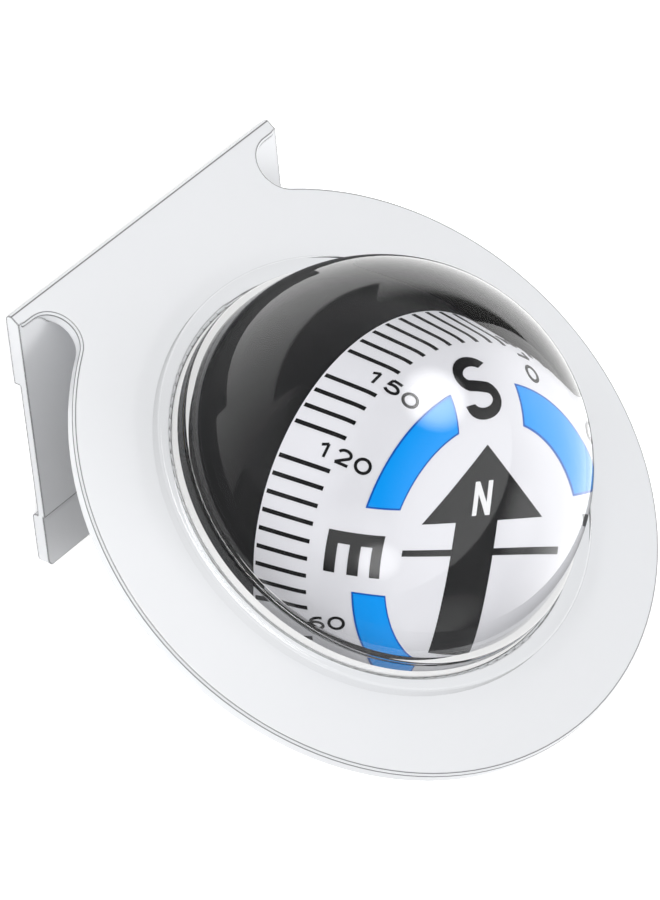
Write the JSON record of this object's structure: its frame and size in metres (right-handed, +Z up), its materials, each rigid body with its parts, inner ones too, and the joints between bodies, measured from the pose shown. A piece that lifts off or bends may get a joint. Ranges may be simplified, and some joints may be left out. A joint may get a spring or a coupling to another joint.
{
  "type": "dashboard compass",
  "caption": "Liquid-filled ball compass for a car dashboard: clear dome and deep black bowl in a leaning disc bracket on a flat stick-on leg, with a floating card.",
  "frame": {"origin": "on the surface that the adhesive pad sticks to, under the middle of the bounding box", "axes": "+Z up out of the dashboard, -Y towards the driver (the disc's face looks to -Y and up), +X to the driver's right; the disc's fold line lies along X"},
  "size_m": [0.06, 0.0444, 0.0493],
  "materials": {
    "pale_plastic": "pale silver-white moulded plastic, smooth satin gloss",
    "foam_tape": "white double-sided foam tape",
    "clear_plastic": "clear polished acrylic",
    "seal_silicone": "pale silicone gasket",
    "black_plastic": "glossy black moulded plastic",
    "ring_plastic": "black moulded plastic, fine texture",
    "plug_plastic": "black moulded plastic",
    "washer_rubber": "black rubber washer",
    "brass": "turned brass",
    "needle_steel": "hardened steel",
    "ball_steel": "polished steel ball",
    "jewel_stone": "synthetic ruby",
    "holder_brass": "turned brass",
    "card_white": "white plastic with printed scale, letters, arcs and arrow",
    "float_black": "black moulded plastic",
    "ballast_brass": "plain brass ring",
    "magnet_metal": "sintered magnet",
    "weight_brass": "plain brass"
  },
  "bodies": {
    "case": {"bracket": "pale_plastic", "adhesive_pad": "foam_tape", "clear_dome": "clear_plastic", "dome_gasket": "seal_silicone", "rear_bowl": "black_plastic", "retaining_ring": "ring_plastic", "filler_plug": "plug_plastic", "plug_washer": "washer_rubber", "pivot_post": "brass", "pivot_needle": "needle_steel"},
    "side_tilt": {"pivot_ball": "ball_steel"},
    "fore_tilt": {"jewel": "jewel_stone"},
    "card": {"jewel_holder": "holder_brass", "compass_card": "card_white", "float_base": "float_black", "ballast_ring": "ballast_brass", "bar_magnet_east": "magnet_metal", "bar_magnet_west": "magnet_metal", "balance_weight": "weight_brass"}
  },
  "joints": [
    {"name": "card_side_tilt", "type": "hinge", "parent": "case", "child": "side_tilt", "pos_m": [0, 0.00261, 0.02283], "axis": [0, 1, 0], "range_deg": [-20, 20]},
    {"name": "card_fore_tilt", "type": "hinge", "parent": "side_tilt", "child": "fore_tilt", "pos_m": [0, 0.00261, 0.02283], "axis": [1, 0, 0], "range_deg": [-20, 20]},
    {"name": "card_spin", "type": "hinge", "parent": "fore_tilt", "child": "card", "pos_m": [0, 0.00261, 0.02283], "axis": [0, -0.061, 0.9981], "continuous": true}
  ]
}
